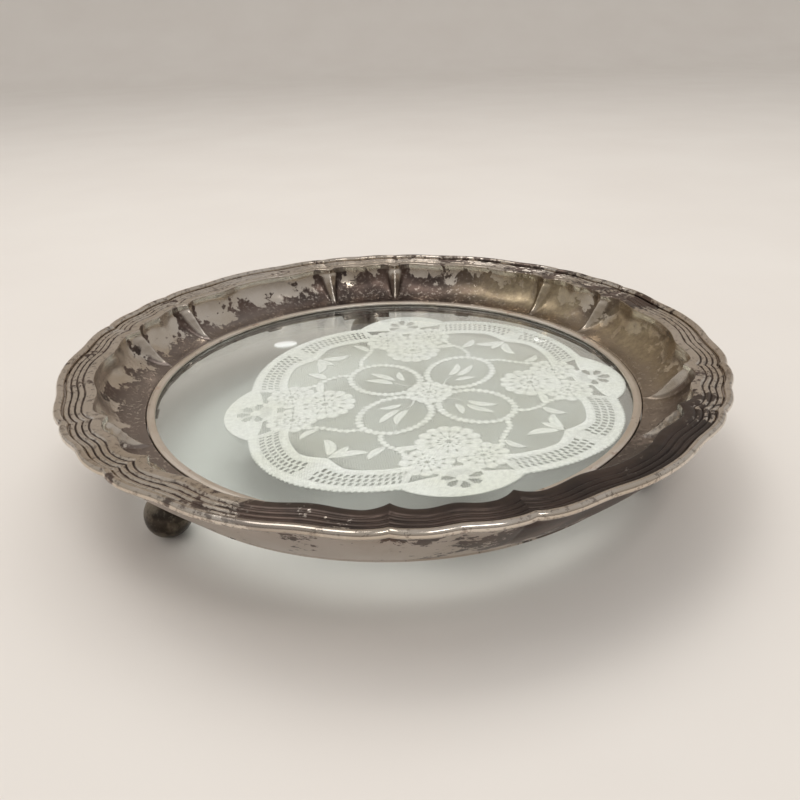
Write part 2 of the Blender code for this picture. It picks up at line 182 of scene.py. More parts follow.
def node(tree, kind, inputs=None, **settings):
    made = tree.nodes.new("ShaderNode" + kind)
    for key, value in settings.items():
        setattr(made, key, value)
    for key, value in (inputs or {}).items():
        if isinstance(value, bpy.types.NodeSocket):
            tree.links.new(value, made.inputs[key])
        else:
            made.inputs[key].default_value = value
    return made


def math_node(tree, operation, first, second=0.0):
    return node(tree, "Math", {0: first, 1: second}, operation=operation).outputs[0]


def plus(tree, first, second):
    return math_node(tree, "ADD", first, second)


def minus(tree, first, second):
    return math_node(tree, "SUBTRACT", first, second)


def times(tree, first, second):
    return math_node(tree, "MULTIPLY", first, second)


def inverse(tree, value):
    """One minus the value."""
    return minus(tree, 1.0, value)


def smooth(tree, value, low, high, to_low=0.0, to_high=1.0):
    made = node(tree, "MapRange", {"Value": value, "From Min": low, "From Max": high,
                                   "To Min": to_low, "To Max": to_high},
                interpolation_type="SMOOTHSTEP")
    return made.outputs["Result"]


def mix(tree, factor, first, second):
    made = node(tree, "Mix", {0: factor}, data_type="RGBA")
    for socket, value in ((made.inputs[6], first), (made.inputs[7], second)):
        if isinstance(value, bpy.types.NodeSocket):
            tree.links.new(value, socket)
        else:
            socket.default_value = value
    return made.outputs[2]


def noise(tree, place, scale, detail=4.0, roughness=0.55, distortion=0.0):
    made = node(tree, "TexNoise", {"Vector": place, "Scale": scale, "Detail": detail,
                                   "Roughness": roughness, "Distortion": distortion})
    return made.outputs["Fac"]


def wobble(tree, value, reach):
    """A noise value spread to plus or minus the reach."""
    return smooth(tree, value, 0.3, 0.7, -reach, reach)


def azimuth_of(tree, split):
    return math_node(tree, "ARCTAN2", split.outputs["Y"], split.outputs["X"])


def facing(tree, azimuth, centre, low, high):
    """1 on the side at that azimuth in radians, 0 away from it, by the cosine between them."""
    return smooth(tree, math_node(tree, "COSINE", minus(tree, azimuth, centre)), low, high)


def attribute(tree, name):
    return node(tree, "Attribute", attribute_name=name).outputs["Fac"]


def bump(tree, height, strength, distance, normal=None):
    inputs = {"Height": height, "Strength": strength, "Distance": distance}
    if normal is not None:
        inputs["Normal"] = normal
    return node(tree, "Bump", inputs).outputs["Normal"]


def new_material(name):
    material = bpy.data.materials.new(name)
    material.use_nodes = True
    tree = material.node_tree
    return material, tree, tree.nodes["Principled BSDF"]


# ---------------------------------------------------------------- mesh helpers

def signed_volume(points, faces):
    a, b, c = (points[faces[:, k]] for k in range(3))
    total = np.einsum("ij,ij->i", a, np.cross(b, c)).sum()
    if faces.shape[1] == 4:
        d = points[faces[:, 3]]
        total += np.einsum("ij,ij->i", a, np.cross(c, d)).sum()
    return total / 6.0


def add_piece(name, points, faces, material, replaced=(), attributes=None, closed=True):
    """A mesh piece on the root body, from points in millimetres."""
    points = np.asarray(points, dtype=float)
    if closed and len({len(face) for face in faces}) == 1:
        faces = np.asarray(faces)
        if signed_volume(points, faces) < 0.0:
            faces = faces[:, ::-1]
        faces = faces.tolist()
    mesh = bpy.data.meshes.new(name)
    mesh.from_pydata((points * MM).tolist(), [], faces)
    mesh.shade_smooth()
    mesh.materials.append(material)
    for key, values in (attributes or {}).items():
        made = mesh.attributes.new(key, "FLOAT", "POINT")
        made.data.foreach_set("value", np.asarray(values, dtype=float).ravel())
    piece = bpy.data.objects.new(name, mesh)
    scene.collection.objects.link(piece)
    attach(piece, "root")
    if replaced:
        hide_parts(*replaced)
    return piece


def loop_faces(around, across):
    """Quads of a section swept round a closed ring; both ways closed."""
    i, j = np.meshgrid(np.arange(around), np.arange(across), indexing="ij")
    ahead, beside = (i + 1) % around, (j + 1) % across
    quads = np.stack([i * across + j, ahead * across + j,
                      ahead * across + beside, i * across + beside], -1)
    return quads.reshape(-1, 4)


def ring_points(angles, radius, height):
    """Points of a swept ring: radius and height are arrays of angle by station."""
    turn = np.radians(angles)[:, None]
    points = np.stack([radius * np.cos(turn), radius * np.sin(turn), height + 0.0 * turn], -1)
    return points.reshape(-1, 3)


def arc(centre, semi, start, end, count):
    turn = np.radians(np.linspace(start, end, count))
    return np.stack([centre[0] + semi[0] * np.cos(turn), centre[1] + semi[1] * np.sin(turn)], -1)


def smoothstep(low, high, value):
    t = np.clip((value - low) / (high - low), 0.0, 1.0)
    return t * t * (3.0 - 2.0 * t)


# ---------------------------------------------------------------- the scalloped plan

def bracket_offset(angle):
    return angle % 60.0 - 30.0


def scallop(angle):
    """Outline shift: 0 on the bulges, -1 at the cusps."""
    offset = np.abs(bracket_offset(angle))
    cusp = np.exp(-np.abs(offset - CUSP_DEGREES) / 1.5)
    bracket_hollow = 0.75 * np.exp(-(offset / 2.6) ** 2)
    lobe_hollow = 0.95 * np.exp(-((offset - 20.0) / 4.5) ** 2)
    return -np.maximum(cusp, np.maximum(bracket_hollow, lobe_hollow))


def scallop_depth(radius):
    return 2.9 - 1.3 * smoothstep(MOULDING_INNER_RADIUS, OUTER_RADIUS, radius)


def scallop_weight(radius, height):
    return (smoothstep(COVE_FOOT_RADIUS, MOULDING_INNER_RADIUS, radius)
            * smoothstep(SKIRT_FOOT_HEIGHT, COVE_TOP_HEIGHT, height))


def cusp_distance(angle):
    """Degrees from the nearest cusp."""
    return np.abs(np.abs(bracket_offset(angle)) - CUSP_DEGREES)


def rim_angles():
    """Azimuths round the rim, closer together near the cusps."""
    offsets = []
    offset = -30.0
    while offset < 29.999:
        offsets.append(offset)
        offset += 0.25 if abs(abs(offset) - CUSP_DEGREES) < 4.0 else 0.5
    return np.concatenate([np.array(offsets) + 30.0 + 60.0 * k for k in range(6)])


# ---------------------------------------------------------------- the stamped border

WIRE_FALL = -2.0
DART_PLACES = (0.0, 0.1, 0.3, 0.5, 0.7, 0.85, 1.0)
DART_HEIGHTS = (1.6, 3.2, 4.6, 4.6, 3.3, 1.6, 0.0)
DART_WIDTHS = (7.6, 6.6, 5.2, 4.0, 2.8, 1.9, 1.0)
CREST_ROUNDING = 0.06


def moulding_section():
    """Radius, height and groove value across the reeds and the broad inner band."""
    rows = []
    for reed in range(REED_COUNT):
        for part in np.linspace(0.0, 1.0, 11)[:-1]:
            across = 2.0 * part - 1.0
            rise = 1.15 * max(0.0, 1.0 - across ** 2) ** 0.6
            radius = MOULDING_OUTER_RADIUS - (reed + part) * REED_WIDTH
            shade = 0.35 if reed == 0 and across < 0.0 else 1.0
            rows.append((radius, MOULDING_BASE + rise, shade * abs(across) ** 3.2))
    start = MOULDING_OUTER_RADIUS - REED_COUNT * REED_WIDTH
    width = start - MOULDING_INNER_RADIUS
    for part in np.linspace(0.0, 1.0, 12)[:-1]:
        rise = 1.2 * (1.0 - (1.0 - part) ** 9) - 0.25 * part ** 3
        rows.append((start - part * width, MOULDING_BASE + rise, (1.0 - part) ** 12))
    return rows


def arc_stations(centre, semi, start, end, count, falls):
    """Stations along an arc of the cove, with the fall running from the first value to the last."""
    line = arc(centre, semi, start, end, count)
    turn = np.radians(np.linspace(start, end, count))
    fall = np.linspace(falls[0], falls[1], count)
    return [(line[k][0], line[k][1], fall[k], -math.cos(turn[k]), -math.sin(turn[k]), 0.0)
            for k in range(count)]


def border_stations():
    """Stations of the border's closed section.

    Each is radius, height, fall, the normal's radial and upright parts, and groove. The fall
    runs from 0 at the top of the cove to 1 at its foot and is -1 on the moulding.
    """
    rows = [(r, z, -1.0, -1.0, 0.0, g) for r, z, g in moulding_section()]
    inner = MOULDING_INNER_RADIUS
    rows += [(inner - 0.05, 53.9, 0.0, -1.0, 0.0, 0.0), (inner - 0.15, 53.3, 0.0, -1.0, 0.0, 0.0),
             (inner - 0.2, 52.3, 0.0, -1.0, 0.0, 0.1)]
    semi = (inner - COVE_FOOT_RADIUS, COVE_TOP_HEIGHT - COVE_FOOT_HEIGHT)
    centre = (COVE_FOOT_RADIUS, COVE_TOP_HEIGHT)
    rows += arc_stations(centre, semi, -COVE_START_DEGREES, -90.0, 34, (0.0, 1.0))
    foot = COVE_FOOT_RADIUS
    rows += [(foot - 0.6, 34.65, 1.0, 0.0, 0.0, 0.3), (foot - 0.9, 34.0, 1.0, 0.0, 0.0, 1.0),
             (foot - 0.9, 31.3, 1.0, 0.0, 0.0, 1.0), (foot, 31.3, 1.0, 0.0, 0.0, 1.0)]
    outside = (semi[0] + SHEET, semi[1] + SHEET)
    rows += arc_stations(centre, outside, -88.0, -COVE_START_DEGREES, 14, (1.0, 0.0))
    rows += [(inner + 3.0, 51.9, -1.0, -1.0, 0.0, 0.0),
             (MOULDING_OUTER_RADIUS, 52.3, -1.0, -1.0, 0.0, 0.0)]
    return np.array(rows)


def build_border(material):
    angles = rim_angles()
    rows = border_stations()
    radius, height, fall, normal_r, normal_z, groove = (rows[:, k][None, :] for k in range(6))
    angle = angles[:, None]
    shift = scallop(angle) * scallop_depth(radius) * scallop_weight(radius, height)
    on_moulding = np.clip(1.0 - (radius - MOULDING_INNER_RADIUS) / 6.0, 0.0, 1.0)
    along = np.clip(fall, 0.0, 1.0)
    tall = np.interp(along, DART_PLACES, DART_HEIGHTS)
    tall = np.where(fall < -0.5, DART_HEIGHTS[0] * on_moulding, tall)
    wide = np.interp(along, DART_PLACES, DART_WIDTHS)
    across = np.radians(cusp_distance(angle)) * radius / wide
    across = np.sqrt(across ** 2 + CREST_ROUNDING ** 2) - CREST_ROUNDING
    tent = np.clip(1.0 - across, 0.0, 1.0) ** 1.2
    crest = tent * np.clip(tall / 3.0, 0.0, 1.0)
    beside = np.radians(cusp_distance(angle)) * radius
    # Painted shade: niche_shade darkens the cove beside each dart, high up, where the deep hollow
    # beside the dart would lie in shade.
    niche_shade = np.exp(-((beside - wide) / 3.2) ** 2) * np.clip(1.15 - 1.6 * along, 0.0, 1.0)
    niche_shade = niche_shade * (fall > -0.5)
    new_radius = radius + shift + tent * tall * normal_r
    new_height = height + tent * tall * normal_z
    points = ring_points(angles, new_radius, new_height)
    full = np.ones_like(angle)
    add_piece("rim_border_stamped", points, loop_faces(len(angles), rows.shape[0]), material,
              ["rim_border"],
              {"fall": fall * full, "groove": groove * full, "crest": crest, "niche_shade": niche_shade})


def build_edge_wire(material):
    angles = rim_angles()
    count = 20
    turn = np.linspace(0.0, TAU, count, endpoint=False)[None, :]
    centre = (WIRE_CENTRE_RADIUS + scallop(angles) * 1.6)[:, None]
    radius = centre + WIRE_RADIUS * np.cos(turn)
    height = WIRE_HEIGHT + WIRE_RADIUS * np.sin(turn) + 0.0 * centre
    inward = (np.clip(-np.cos(turn) - 0.3, 0.0, 1.0) / 0.7
              * np.clip(1.2 - np.abs(np.sin(turn)), 0.0, 1.0))
    groove = np.broadcast_to(inward, radius.shape)
    none = np.zeros(radius.shape)
    values = {"fall": none + WIRE_FALL, "groove": groove * 0.3, "crest": none, "niche_shade": none}
    add_piece("edge_wire_rolled", ring_points(angles, radius, height), loop_faces(len(angles), count),
              material, ["edge_wire"], values)


# ---------------------------------------------------------------- the outer skirt

def build_skirt(material):
    angles = rim_angles()
    top = (157.4, 52.75)
    foot = (SKIRT_FOOT_RADIUS, SKIRT_FOOT_HEIGHT + 1.0)
    run, rise = top[0] - foot[0], top[1] - foot[1]
    length = math.hypot(run, rise)

    def wall(offset, count):
        t = np.linspace(0.0, 1.0, count)
        bow = 1.2 * 4.0 * t * (1.0 - t) + offset
        return np.stack([top[0] - run * t + bow * rise / length,
                         top[1] - rise * t - bow * run / length], -1)

    hem_centre = (SKIRT_FOOT_RADIUS - 0.45, SKIRT_FOOT_HEIGHT + HEM_RADIUS)
    hem = arc(hem_centre, (HEM_RADIUS, HEM_RADIUS), 40.0, -220.0, 9)
    section = np.concatenate([wall(0.0, 40)[:-1], hem, wall(-SHEET, 12)[::-1]])
    radius, height = section[:, 0][None, :], section[:, 1][None, :]
    angle = angles[:, None]
    shift = scallop(angle) * scallop_depth(radius) * scallop_weight(radius, height)
    pinch = np.exp(-(cusp_distance(angle) / 1.5) ** 2) * np.exp(-((height - 48.6) / 2.6) ** 2)
    shift = shift - 1.9 * pinch
    # shade is painted shade for the dent under each cusp; the skirt's material darkens it with the
    # tarnish colour.
    shade = np.clip(pinch * 1.4, 0.0, 1.0)
    points = ring_points(angles, radius + shift, height + 0.0 * angle)
    add_piece("skirt_wall", points, loop_faces(len(angles), section.shape[0]), material,
              ["outer_skirt"], {"pinch": shade})


# ---------------------------------------------------------------- bezel, glass and feet

def revolve(section, count):
    angles = np.linspace(0.0, 360.0, count, endpoint=False)
    section = np.asarray(section)
    radius = np.repeat(section[:, 0][None, :], count, 0)
    height = np.repeat(section[:, 1][None, :], count, 0)
    return ring_points(angles, radius, height), loop_faces(count, len(section))


def build_bezel(material):
    section = np.concatenate([
        arc((122.0, 34.4), (0.6, 0.6), -60.0, 60.0, 5),
        arc((120.9, 33.55), (1.35, 1.42), 65.0, 115.0, 9),
        arc((119.5, 34.2), (0.8, 0.75), 120.0, 180.0, 6),
        [(118.7, 33.65)], [(122.4, 33.6)]])
    points, faces = revolve(section, 360)
    add_piece("bezel_polished", points, faces, material, ["bezel_ring"])


def build_pane(name, node_name, base, material):
    """A bevelled glass disc: rings of quads closed above and below by one flat face."""
    outer, thick, bevel, count = 121.2, 2.4, 0.4, 256
    top = base + thick
    section = [(outer * 0.5, top), (outer - bevel, top), (outer, top - bevel),
               (outer, base + bevel), (outer - bevel, base), (outer * 0.5, base)]
    angles = np.linspace(0.0, 360.0, count, endpoint=False)
    section = np.array(section)
    points = ring_points(angles, np.repeat(section[:, 0][None, :], count, 0),
                         np.repeat(section[:, 1][None, :], count, 0))
    across = len(section)
    faces = []
    for i in range(count):
        ahead = (i + 1) % count
        for j in range(across - 1):
            faces.append((i * across + j, i * across + j + 1,
                          ahead * across + j + 1, ahead * across + j))
    faces.append(tuple(i * across for i in range(count)))
    faces.append(tuple(i * across + across - 1 for i in reversed(range(count))))
    piece = add_piece(name, points, faces, material, [node_name], closed=False)
    piece.data.set_sharp_from_angle(angle=math.radians(25.0))
    return piece


def build_ball(side, material):
    """A slightly dented ball, cut flat where it rests and where the screw enters."""
    low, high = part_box(f"foot_ball_{side}")
    centre = [(low[k] + high[k]) / 2.0 / MM for k in range(3)]
    radius = (high[0] - low[0]) / 2.0 / MM
    middle = math.sqrt(radius ** 2 - FOOT_FLAT_RADIUS ** 2)
    rings, count = 40, 64
    lowest = -math.acos(FOOT_FLAT_RADIUS / radius)
    steps = np.linspace(lowest, math.acos(BALL_TOP_RADIUS / radius), rings)
    angles = np.linspace(0.0, TAU, count, endpoint=False)
    seed = {"back": 0.0, "left": 1.7, "right": 3.9}[side]
    points = []
    for step in steps:
        dents = (np.sin(2.0 * angles + 3.0 * step + seed) * np.cos(2.3 * step - seed)
                 + 0.6 * np.sin(3.0 * angles - 2.0 * step + 2.0 * seed))
        size = radius * (1.0 - 0.008 * (1.0 + dents) * math.cos(step) ** 2)
        for angle, here in zip(angles, size):
            points.append((centre[0] + here * math.cos(step) * math.cos(angle),
                           centre[1] + here * math.cos(step) * math.sin(angle),
                           middle + radius * math.sin(step)))
    faces = []
    for i in range(rings - 1):
        for j in range(count):
            beside = (j + 1) % count
            faces.append((i * count + j, i * count + beside,
                          (i + 1) * count + beside, (i + 1) * count + j))
    faces.append(tuple(reversed(range(count))))
    faces.append(tuple((rings - 1) * count + j for j in range(count)))
    add_piece(f"foot_ball_{side}_turned", points, faces, material,
              [f"foot_ball_{side}"], closed=False)


# ---------------------------------------------------------------- lace

LACE_CENTRE = (14.5, -8.9)
LACE_NUDGE = (1.8, -2.5)
LACE_LEAN = (0.02, 0.037)
LACE_BEND = (-0.0004, 0.0007)
LACE_HEM = 0.4
NET_HEIGHT = 30.15
CLOTH_HEIGHT = 30.24
LACE_TOP = 30.62


class Relief:
    """Collects raised lace cloth: grids of points with a height above the net."""

    def __init__(self):
        self.points = []
        self.faces = []
        self.depth = []

    def grid(self, x, y, lift, keep=None, closed=False, base=CLOTH_HEIGHT):
        rows, columns = x.shape
        start = len(self.points)
        height = base + np.clip(lift, 0.0, 1.0) * (LACE_TOP - base - 0.04)
        self.points.extend(np.stack([x, y, height], -1).reshape(-1, 3).tolist())
        self.depth.extend(lift.ravel().tolist())
        for i in range(rows if closed else rows - 1):
            ahead = (i + 1) % rows
            for j in range(columns - 1):
                if keep is None or keep[i % keep.shape[0], j]:
                    self.faces.append((start + i * columns + j, start + ahead * columns + j,
                                       start + ahead * columns + j + 1, start + i * columns + j + 1))


def polar(radius, degrees):
    turn = math.radians(degrees)
    return np.array([radius * math.cos(turn), radius * math.sin(turn)])


def spline_path(controls, count):
    """Catmull-Rom path through the control points."""
    controls = np.array(controls, dtype=float)
    before = 2 * controls[0] - controls[1]
    after = 2 * controls[-1] - controls[-2]
    padded = np.concatenate([[before], controls, [after]])
    spans = len(controls) - 1
    out = []
    for s in np.linspace(0.0, spans, count):
        k = min(int(s), spans - 1)
        t = s - k
        a, b, c, d = padded[k:k + 4]
        out.append(0.5 * (2 * b + (c - a) * t + (2 * a - 5 * b + 4 * c - d) * t * t
                          + (3 * b - a - 3 * c + d) * t ** 3))
    return np.array(out)


def arc_between(first, last, bulge, count):
    """A shallow parabola from first to last that bulges to the right of the way."""
    first, last = np.array(first), np.array(last)
    chord = last - first
    side = np.array([chord[1], -chord[0]]) / np.linalg.norm(chord)
    s = np.linspace(0.0, 1.0, count)[:, None]
    return first + chord * s + side * bulge * 4.0 * s * (1.0 - s)


def tape(relief, path, half_width, lift=0.8, vein=0.0, closed=False):
    """A raised strip along a path, with a sunken vein down the middle if asked."""
    if closed:
        tangent = np.roll(path, -1, 0) - np.roll(path, 1, 0)
    else:
        tangent = np.gradient(path, axis=0)
    tangent = tangent / np.linalg.norm(tangent, axis=1)[:, None]
    side = np.stack([-tangent[:, 1], tangent[:, 0]], -1)
    across = np.array([-1.0, -0.86, -0.45, 0.0, 0.45, 0.86, 1.0])
    raised = np.array([0.0, 0.6, 1.0, 1.0 - vein, 1.0, 0.6, 0.0])
    half = np.broadcast_to(np.asarray(half_width, dtype=float), (len(path),))[:, None]
    x = path[:, 0][:, None] + side[:, 0][:, None] * half * across
    y = path[:, 1][:, None] + side[:, 1][:, None] * half * across
    relief.grid(x, y, raised[None, :] * lift * np.minimum(1.0, half / 0.6), closed=closed)


LEAF_LIFT = 0.9


def leaf(relief, root, tip, width, bend):
    path = arc_between(root, tip, bend * np.linalg.norm(np.array(tip) - np.array(root)), 17)
    s = np.linspace(0.0, 1.0, 17)
    half_width = 0.1 + width / 2.0 * np.sin(math.pi * s ** 0.9) ** 0.75
    tape(relief, path, half_width, LEAF_LIFT, vein=0.45)


CORD_LIFT = 0.85


def cord_tape(relief, path, half_width, pitch, closed=False):
    """A braided cord: a narrow tape whose width swells once every pitch."""
    step = np.linalg.norm(np.roll(path, -1, 0) - path, axis=1)
    if not closed:
        step[-1] = 0.0
    run = np.concatenate([[0.0], np.cumsum(step)[:-1]])
    swell = 0.5 + 0.5 * np.cos(TAU * run / pitch)
    lift = CORD_LIFT * (0.6 + 0.4 * swell[:, None])
    tape(relief, path, half_width * (0.52 + 0.48 * swell), lift, closed=closed)


def rosette(relief, centre, radius, petals, phase=0.0, base=CLOTH_HEIGHT):
    """A flower: open middle, a ring of eyelets, slits between petals and a petalled edge."""
    per_petal = 10
    count = petals * per_petal
    turn = np.linspace(0.0, TAU, count, endpoint=False) + math.radians(phase)
    rings = np.array([0.09, 0.13, 0.20, 0.27, 0.34, 0.41, 0.47,
                      0.53, 0.60, 0.68, 0.77, 0.86, 0.94, 1.0])
    petal = np.abs(np.cos(petals * (turn - math.radians(phase)) / 2.0))
    edge = 1.0 - 0.11 * smoothstep(0.55, 1.0, rings)[None, :] * (1.0 - petal[:, None]) ** 1.5
    r = radius * rings[None, :] * edge
    x = centre[0] + r * np.cos(turn)[:, None]
    y = centre[1] + r * np.sin(turn)[:, None]
    ring_rise = np.interp(rings, (0.09, 0.13, 0.22, 0.28, 0.38, 0.47, 0.55, 0.78, 0.96, 1.0),
                          (0.2, 0.9, 0.9, 0.5, 0.95, 0.9, 0.45, 0.85, 0.75, 0.0))
    lift = ring_rise[None, :] * (0.62 + 0.38 * petal[:, None])
    keep = np.ones((count, len(rings) - 1), dtype=bool)
    index = np.arange(count) % per_petal
    eyelet = (index >= 3) & (index <= 6)
    keep[np.ix_(eyelet, [3])] = False
    slit = (index == 4) | (index == 5)
    keep[np.ix_(slit, [7, 8])] = False
    relief.grid(x, y, lift, keep, closed=True, base=base)


NOTCH_RADIUS, NOTCH_DEGREES = 93.0, 16.8
TIP_RADIUS = 100.4
LOBE_CIRCLE_X, LOBE_CIRCLE_RADIUS = 67.5, 34.4
OUTLINE_STEP = 0.5
SCALLOP_BULGE = 4.7


def lace_outline():
    """Outline radius for every half degree: an end lobe on each axis and two scallops between."""
    notch = math.radians(NOTCH_DEGREES)
    start = math.atan2(NOTCH_RADIUS * math.sin(notch),
                       NOTCH_RADIUS * math.cos(notch) - LOBE_CIRCLE_X)
    turn = np.linspace(0.0, start, 30)
    lobe = np.stack([LOBE_CIRCLE_X + LOBE_CIRCLE_RADIUS * np.cos(turn),
                     LOBE_CIRCLE_RADIUS * np.sin(turn)], -1)
    side = arc_between(polar(NOTCH_RADIUS, NOTCH_DEGREES), polar(TIP_RADIUS, 45.0), SCALLOP_BULGE, 40)
    half = np.concatenate([lobe, side[1:]])
    degrees = np.degrees(np.arctan2(half[:, 1], half[:, 0]))
    radius = np.hypot(half[:, 0], half[:, 1])
    full = np.arange(0.0, 360.0, OUTLINE_STEP)
    folded = np.abs((full + 45.0) % 90.0 - 45.0)
    return full, np.interp(folded, degrees, radius)


def place_lace(points):
    """Lays the lace on the glass: moved off centre and pulled slightly out of true."""
    points = np.array(points)
    x, y = points[:, 0].copy(), points[:, 1].copy()
    points[:, 0] = x + LACE_CENTRE[0] + LACE_NUDGE[0] + LACE_LEAN[0] * y
    points[:, 1] = (y + LACE_CENTRE[1] + LACE_NUDGE[1] + LACE_LEAN[1] * x
                    + LACE_BEND[0] * x ** 2 + LACE_BEND[1] * y ** 2)
    return points


def build_net(material):
    degrees, outline = lace_outline()
    turn = np.radians(degrees)
    rings = np.linspace(0.0, 1.0, 26)[1:]
    r = (outline[:, None] - LACE_HEM) * rings[None, :]
    x, y = r * np.cos(turn)[:, None], r * np.sin(turn)[:, None]
    wave = 0.02 * np.sin(x * 0.21 + 1.0) * np.cos(y * 0.17)
    points = np.stack([x, y, NET_HEIGHT + wave], -1).reshape(-1, 3).tolist()
    points.append((0.0, 0.0, NET_HEIGHT))
    count, across = r.shape
    faces = []
    for i in range(count):
        ahead = (i + 1) % count
        faces.append((len(points) - 1, i * across, ahead * across))
        for j in range(across - 1):
            faces.append((i * across + j, i * across + j + 1,
                          ahead * across + j + 1, ahead * across + j))
    net = add_piece("lace_net", place_lace(points), faces, material, ["lace_doily"],
                    closed=False)
    area = 0.5 * float(np.sum(((outline - LACE_HEM) * MM) ** 2)) * math.radians(OUTLINE_STEP)
    return net, area


def border_scallop(relief, turn_degrees, mirrored):
    """One scallop of the border: an inner tape, three rows of eyelets and a firm outer edge."""
    columns = 97
    s = np.linspace(0.0, 1.0, columns)
    notch, tip = polar(NOTCH_RADIUS, NOTCH_DEGREES - 1.5), polar(TIP_RADIUS, 45.0)
    outer = arc_between(notch, tip, SCALLOP_BULGE, columns)
    inner = spline_path([polar(71.5, 13.5), polar(75.5, 20.0), polar(78.8, 28.0), polar(80.6, 36.0),
                         polar(76.5, 45.0)], columns)
    v = np.array([0.0, 0.03, 0.10, 0.17, 0.21, 0.26, 0.39, 0.44, 0.57,
                  0.62, 0.74, 0.78, 0.84, 0.90, 0.95, 0.98, 1.0])
    lift = np.interp(v, (0.0, 0.03, 0.10, 0.17, 0.22, 0.41, 0.60, 0.76, 0.82, 0.9, 0.97, 1.0),
                     (0.1, 0.75, 0.85, 0.75, 0.5, 0.55, 0.55, 0.5, 0.75, 0.85, 0.7, 0.0))
    picot = 0.45 * np.cos(TAU * s * 19.0)
    x = inner[:, 0][:, None] * (1 - v) + outer[:, 0][:, None] * v
    y = inner[:, 1][:, None] * (1 - v) + outer[:, 1][:, None] * v
    grow = 1.0 + picot[:, None] * smoothstep(0.9, 1.0, v)[None, :] / 95.0
    x, y = x * grow, y * grow
    keep = np.ones((columns - 1, len(v) - 1), dtype=bool)
    column = np.arange(columns - 1)
    for row, offset in ((5, 0), (7, 3), (9, 0)):
        hole = ((column + offset) % 6 < 3) & (column > 6) & (column < columns - 8)
        keep[np.ix_(hole, [row])] = False
    ripple = 0.12 * np.cos(TAU * s * 40.0)[:, None] * (v[None, :] < 0.25)
    if mirrored:
        y = -y
    c, n = math.cos(math.radians(turn_degrees)), math.sin(math.radians(turn_degrees))
    relief.grid(x * c - y * n, x * n + y * c, lift[None, :] + ripple, keep)


def end_lobe(relief, turn_degrees):
    """Cloth of the lobe on an axis, with five drop-shaped openings round a small disc."""
    count = 120
    turn = np.linspace(0.0, TAU, count, endpoint=False)
    centre_x = 86.5
    offset = centre_x - LOBE_CIRCLE_X
    reach = (-offset * np.cos(turn)
             + np.sqrt(np.maximum(0.0, LOBE_CIRCLE_RADIUS ** 2 - (offset * np.sin(turn)) ** 2)))
    reach = np.minimum(reach, 10.4 + 30.0 * smoothstep(-0.35, 0.3, np.cos(turn)))
    fixed = np.array([0.0, 1.2, 2.2, 3.0, 4.4, 6.0, 7.6, 9.0])
    rest = np.array([0.25, 0.5, 0.75, 0.9, 0.97, 1.0])
    reach = np.maximum(reach, 9.6)
    r = np.concatenate([np.repeat(fixed[None, :], count, 0),
                        9.0 + (reach[:, None] - 9.0) * rest[None, :]], 1)
    at_edge = (np.arange(r.shape[1]) == r.shape[1] - 1)[None, :]
    picot = 1.0 + 0.004 * np.cos(turn * 60.0)[:, None] * at_edge
    x = centre_x + r * picot * np.cos(turn)[:, None]
    y = r * picot * np.sin(turn)[:, None]
    lift = np.array([0.9, 0.9, 0.8, 0.4, 0.4, 0.4, 0.5, 0.8, 0.7, 0.75, 0.8, 0.85, 0.6, 0.0])
    keep = np.ones((count, r.shape[1] - 1), dtype=bool)
    degrees = np.degrees(turn + math.pi / count)
    for opening in range(5):
        away = np.abs((degrees - (opening - 2) * 50.0 + 180.0) % 360.0 - 180.0)
        for ring, half in ((3, 9.0), (4, 15.0), (5, 17.0), (6, 11.0)):
            keep[away < half, ring] = False
    c, n = math.cos(math.radians(turn_degrees)), math.sin(math.radians(turn_degrees))
    relief.grid(x * c - y * n, x * n + y * c, np.repeat(lift[None, :], count, 0), keep, closed=True,
                base=CLOTH_HEIGHT - 0.05)


def quarter_motifs(relief, turn_degrees):
    """Loops, leaves, scrolls and rosettes of one quarter, turned about the middle."""
    def at(radius, degrees):
        return polar(radius, degrees + turn_degrees)

    diagonal = 45.0
    t = np.linspace(0.0, TAU, 240, endpoint=False)
    along = polar(1.0, diagonal + turn_degrees)
    beside = np.array([-along[1], along[0]])
    loop = along * 28.5 + np.outer(np.cos(t) * 19.5, along) + np.outer(np.sin(t) * 16.5, beside)
    cord_tape(relief, loop, 2.35, 3.3, closed=True)

    def inside(u, v):
        return along * (28.5 + u) + beside * v

    stem = spline_path([inside(-18.0, -1.5), inside(-12.0, 0.8), inside(-7.0, 0.5)], 14)
    tape(relief, stem, 0.5, 0.6)
    leaf(relief, inside(-7.0, 2.5), inside(8.0, 7.0), 4.6, 0.12)
    leaf(relief, inside(-5.0, -1.5), inside(11.0, -1.0), 4.4, 0.06)
    leaf(relief, inside(-10.0, -4.0), inside(-1.0, -11.0), 3.8, -0.1)

    rosette(relief, at(53.0, 0.0), 15.8, 14, turn_degrees)
    rosette(relief, at(70.5, 10.2), 12.6, 12, turn_degrees + 10.0, CLOTH_HEIGHT + 0.03)
    rosette(relief, at(70.5, -10.2), 12.6, 12, turn_degrees - 10.0, CLOTH_HEIGHT + 0.03)

    scroll = spline_path([at(47.5, 43.0), at(50.0, 38.5), at(54.5, 34.0), at(57.5, 28.5),
                          at(62.0, 22.5), at(68.0, 19.0)], 90)
    cord_tape(relief, scroll, 1.95, 3.2)
    leaf(relief, at(62.5, 24.0), at(74.0, 26.5), 4.2, 0.15)
    other = spline_path([at(47.0, 52.0), at(52.5, 55.5), at(57.0, 61.0), at(60.5, 68.0),
                         at(66.5, 72.0)], 80)
    cord_tape(relief, other, 1.95, 3.2)
    leaf(relief, at(58.5, 61.0), at(71.0, 58.5), 4.8, 0.12)
    leaf(relief, at(58.5, 65.0), at(54.5, 77.0), 4.6, 0.12)
    leaf(relief, at(75.0, 43.5), at(66.0, 33.0), 5.4, 0.15)
    leaf(relief, at(75.0, 46.5), at(65.5, 56.0), 5.4, -0.15)
    leaf(relief, at(76.5, 45.0), at(63.5, 45.5), 4.6, 0.05)


